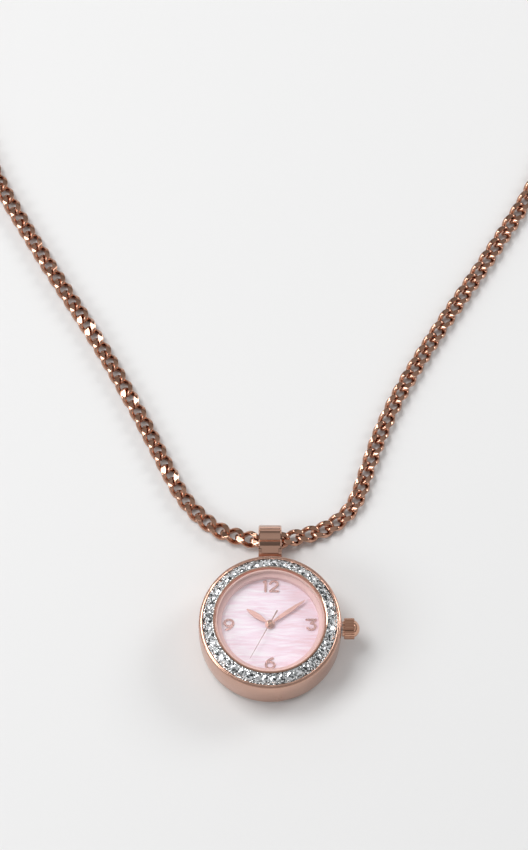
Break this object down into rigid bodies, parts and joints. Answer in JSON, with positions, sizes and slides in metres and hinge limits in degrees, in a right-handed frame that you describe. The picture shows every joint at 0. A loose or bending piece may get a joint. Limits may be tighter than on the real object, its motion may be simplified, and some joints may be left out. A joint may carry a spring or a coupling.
{
  "type": "pendant watch",
  "caption": "Round quartz pendant watch with a stone-set bezel, pearl dial, side crown and swinging bail on a flat curb chain with a clasp.",
  "frame": {"origin": "centre of the case back's flat outer face", "axes": "+Z out of the dial, +Y towards 12 o'clock and the bail, +X towards 3 o'clock and the crown"},
  "size_m": [0.1291, 0.1935, 0.0103],
  "materials": {
    "rose_polish": "polished rose plate",
    "rose_chain": "polished rose plate",
    "rose_satin": "satin rose plate",
    "rose_applied": "polished rose plate",
    "rose_hand": "fine matt rose plate",
    "steel_satin": "satin",
    "spring_steel": "spring steel",
    "steel_wheel": "polished steel",
    "steel_bridge": "nickel plate",
    "channel_bright": "bright plate",
    "clear_stone": "clear faceted stone",
    "watch_glass": "clear mineral glass",
    "pink_pearl": "pink mother of pearl",
    "brass_plate": "plain brass",
    "brass_wheel": "polished brass",
    "gasket_rubber": "matt rubber",
    "gasket_white": "nylon",
    "holder_plastic": "moulded plastic",
    "stator_iron": "soft iron",
    "copper_wire": "enamelled copper wire",
    "board_green": "coated board",
    "can_bright": "bright can",
    "chip_black": "black resin",
    "insulator_film": "amber film",
    "battery_steel": "nickelled steel"
  },
  "bodies": {
    "case": {"bail_pin": "rose_polish", "battery": "battery_steel", "battery_insulator": "insulator_film", "battery_strap": "spring_steel", "bezel": "rose_polish", "bezel_stones": "clear_stone", "case_back": "steel_satin", "case_back_gasket": "gasket_rubber", "case_body": "rose_polish", "case_lug": "rose_polish", "chain_left": "rose_chain", "chain_right": "rose_chain", "chip": "chip_black", "circuit_board": "board_green", "clasp_body": "rose_chain", "clasp_ring": "rose_chain", "clasp_rivet": "rose_chain", "clasp_spring": "spring_steel", "coil_core": "stator_iron", "coil_winding": "copper_wire", "crown_tube": "steel_wheel", "dial_numerals": "rose_applied", "dial_pearl": "pink_pearl", "dial_plate": "brass_plate", "dial_washer": "brass_wheel", "end_ring": "rose_chain", "glass": "watch_glass", "glass_gasket": "gasket_white", "main_plate": "brass_plate", "movement_holder": "holder_plastic", "movement_screws": "steel_wheel", "quartz_can": "can_bright", "rehaut": "rose_satin", "stator": "stator_iron", "stone_channel": "channel_bright", "train_bridge": "steel_bridge"},
    "bail": {"bail": "rose_polish"},
    "crown_seal": {"crown_gasket": "gasket_rubber"},
    "crown": {"crown": "rose_polish", "stem": "steel_wheel"},
    "yoke": {"yoke": "spring_steel"},
    "sliding_pinion": {"sliding_pinion": "steel_wheel"},
    "setting_lever": {"setting_lever": "spring_steel"},
    "minute_works": {"minute_hand": "rose_hand", "cannon_pinion": "steel_wheel"},
    "hour_works": {"hour_hand": "rose_hand", "hour_wheel": "brass_wheel"},
    "minute_wheel": {"minute_wheel": "brass_wheel"},
    "setting_wheel": {"setting_wheel": "steel_wheel"},
    "second_works": {"second_hand": "rose_hand", "second_wheel": "brass_wheel"},
    "third_wheel": {"third_wheel": "brass_wheel"},
    "step_wheel": {"step_wheel": "brass_wheel"},
    "rotor": {"rotor": "steel_wheel"},
    "clasp_trigger": {"clasp_trigger": "rose_chain"}
  },
  "joints": [
    {"name": "bail_swing", "type": "hinge", "parent": "case", "child": "bail", "pos_m": [0, 0.0159, 0.0052], "axis": [1, 0, 0], "range_deg": [-40, 99], "deforming": ["chain_left", "chain_right"]},
    {"name": "crown_pull", "type": "slide", "parent": "case", "child": "crown_seal", "axis": [1, 0, 0], "range_m": [0, 0.0008]},
    {"name": "crown_turn", "type": "hinge", "parent": "crown_seal", "child": "crown", "pos_m": [0.0142, 0, 0.0052], "axis": [1, 0, 0], "continuous": true},
    {"name": "yoke_shift", "type": "slide", "parent": "case", "child": "yoke", "axis": [-1, 0, 0], "range_m": [0, 0.0005]},
    {"name": "pinion_turn", "type": "hinge", "parent": "yoke", "child": "sliding_pinion", "pos_m": [0.00575, 0, 0.0052], "axis": [1, 0, 0], "continuous": true},
    {"name": "lever_swing", "type": "hinge", "parent": "case", "child": "setting_lever", "pos_m": [0.00775, -0.00125, 0.0056], "axis": [0, 0, -1], "range_deg": [0, 37]},
    {"name": "minute_turn", "type": "hinge", "parent": "case", "child": "minute_works", "pos_m": [0, 0, 0.0078], "axis": [0, 0, -1], "continuous": true},
    {"name": "hour_turn", "type": "hinge", "parent": "case", "child": "hour_works", "pos_m": [0, 0, 0.0076], "axis": [0, 0, -1], "continuous": true},
    {"name": "minute_wheel_turn", "type": "hinge", "parent": "case", "child": "minute_wheel", "pos_m": [0.00184, 0.00154, 0.0062], "axis": [0, 0, -1], "continuous": true},
    {"name": "setting_wheel_turn", "type": "hinge", "parent": "case", "child": "setting_wheel", "pos_m": [0.00421, 0.00006, 0.0061], "axis": [0, 0, -1], "continuous": true},
    {"name": "second_turn", "type": "hinge", "parent": "case", "child": "second_works", "pos_m": [0, 0, 0.0083], "axis": [0, 0, -1], "continuous": true},
    {"name": "third_wheel_turn", "type": "hinge", "parent": "case", "child": "third_wheel", "pos_m": [0.0024, -0.00087, 0.0042], "axis": [0, 0, -1], "continuous": true},
    {"name": "step_wheel_turn", "type": "hinge", "parent": "case", "child": "step_wheel", "pos_m": [-0.00182, 0.00105, 0.0041], "axis": [0, 0, -1], "continuous": true},
    {"name": "rotor_turn", "type": "hinge", "parent": "case", "child": "rotor", "pos_m": [-0.00215, 0.00292, 0.0038], "axis": [0, 0, -1], "continuous": true},
    {"name": "clasp_trigger_swing", "type": "hinge", "parent": "case", "child": "clasp_trigger", "pos_m": [0.00019, 0.17785, 0.00176], "axis": [0, 0, 1], "range_deg": [-25, 0], "stiffness_Nm_per_rad": 0.0008, "deforming": ["clasp_spring"]}
  ],
  "couplings": [
    {"joint": "yoke_shift", "follows": "crown_pull", "ratio": 0.6},
    {"joint": "lever_swing", "follows": "crown_pull", "rad_per_m": 800},
    {"joint": "pinion_turn", "follows": "crown_turn", "ratio": 1},
    {"joint": "hour_turn", "follows": "minute_turn", "ratio": 0.083333},
    {"joint": "minute_wheel_turn", "follows": "minute_turn", "ratio": -0.33333},
    {"joint": "setting_wheel_turn", "follows": "minute_turn", "ratio": 0.6},
    {"joint": "third_wheel_turn", "follows": "second_turn", "ratio": -0.13333},
    {"joint": "step_wheel_turn", "follows": "second_turn", "ratio": -5},
    {"joint": "rotor_turn", "follows": "second_turn", "ratio": 30}
  ]
}
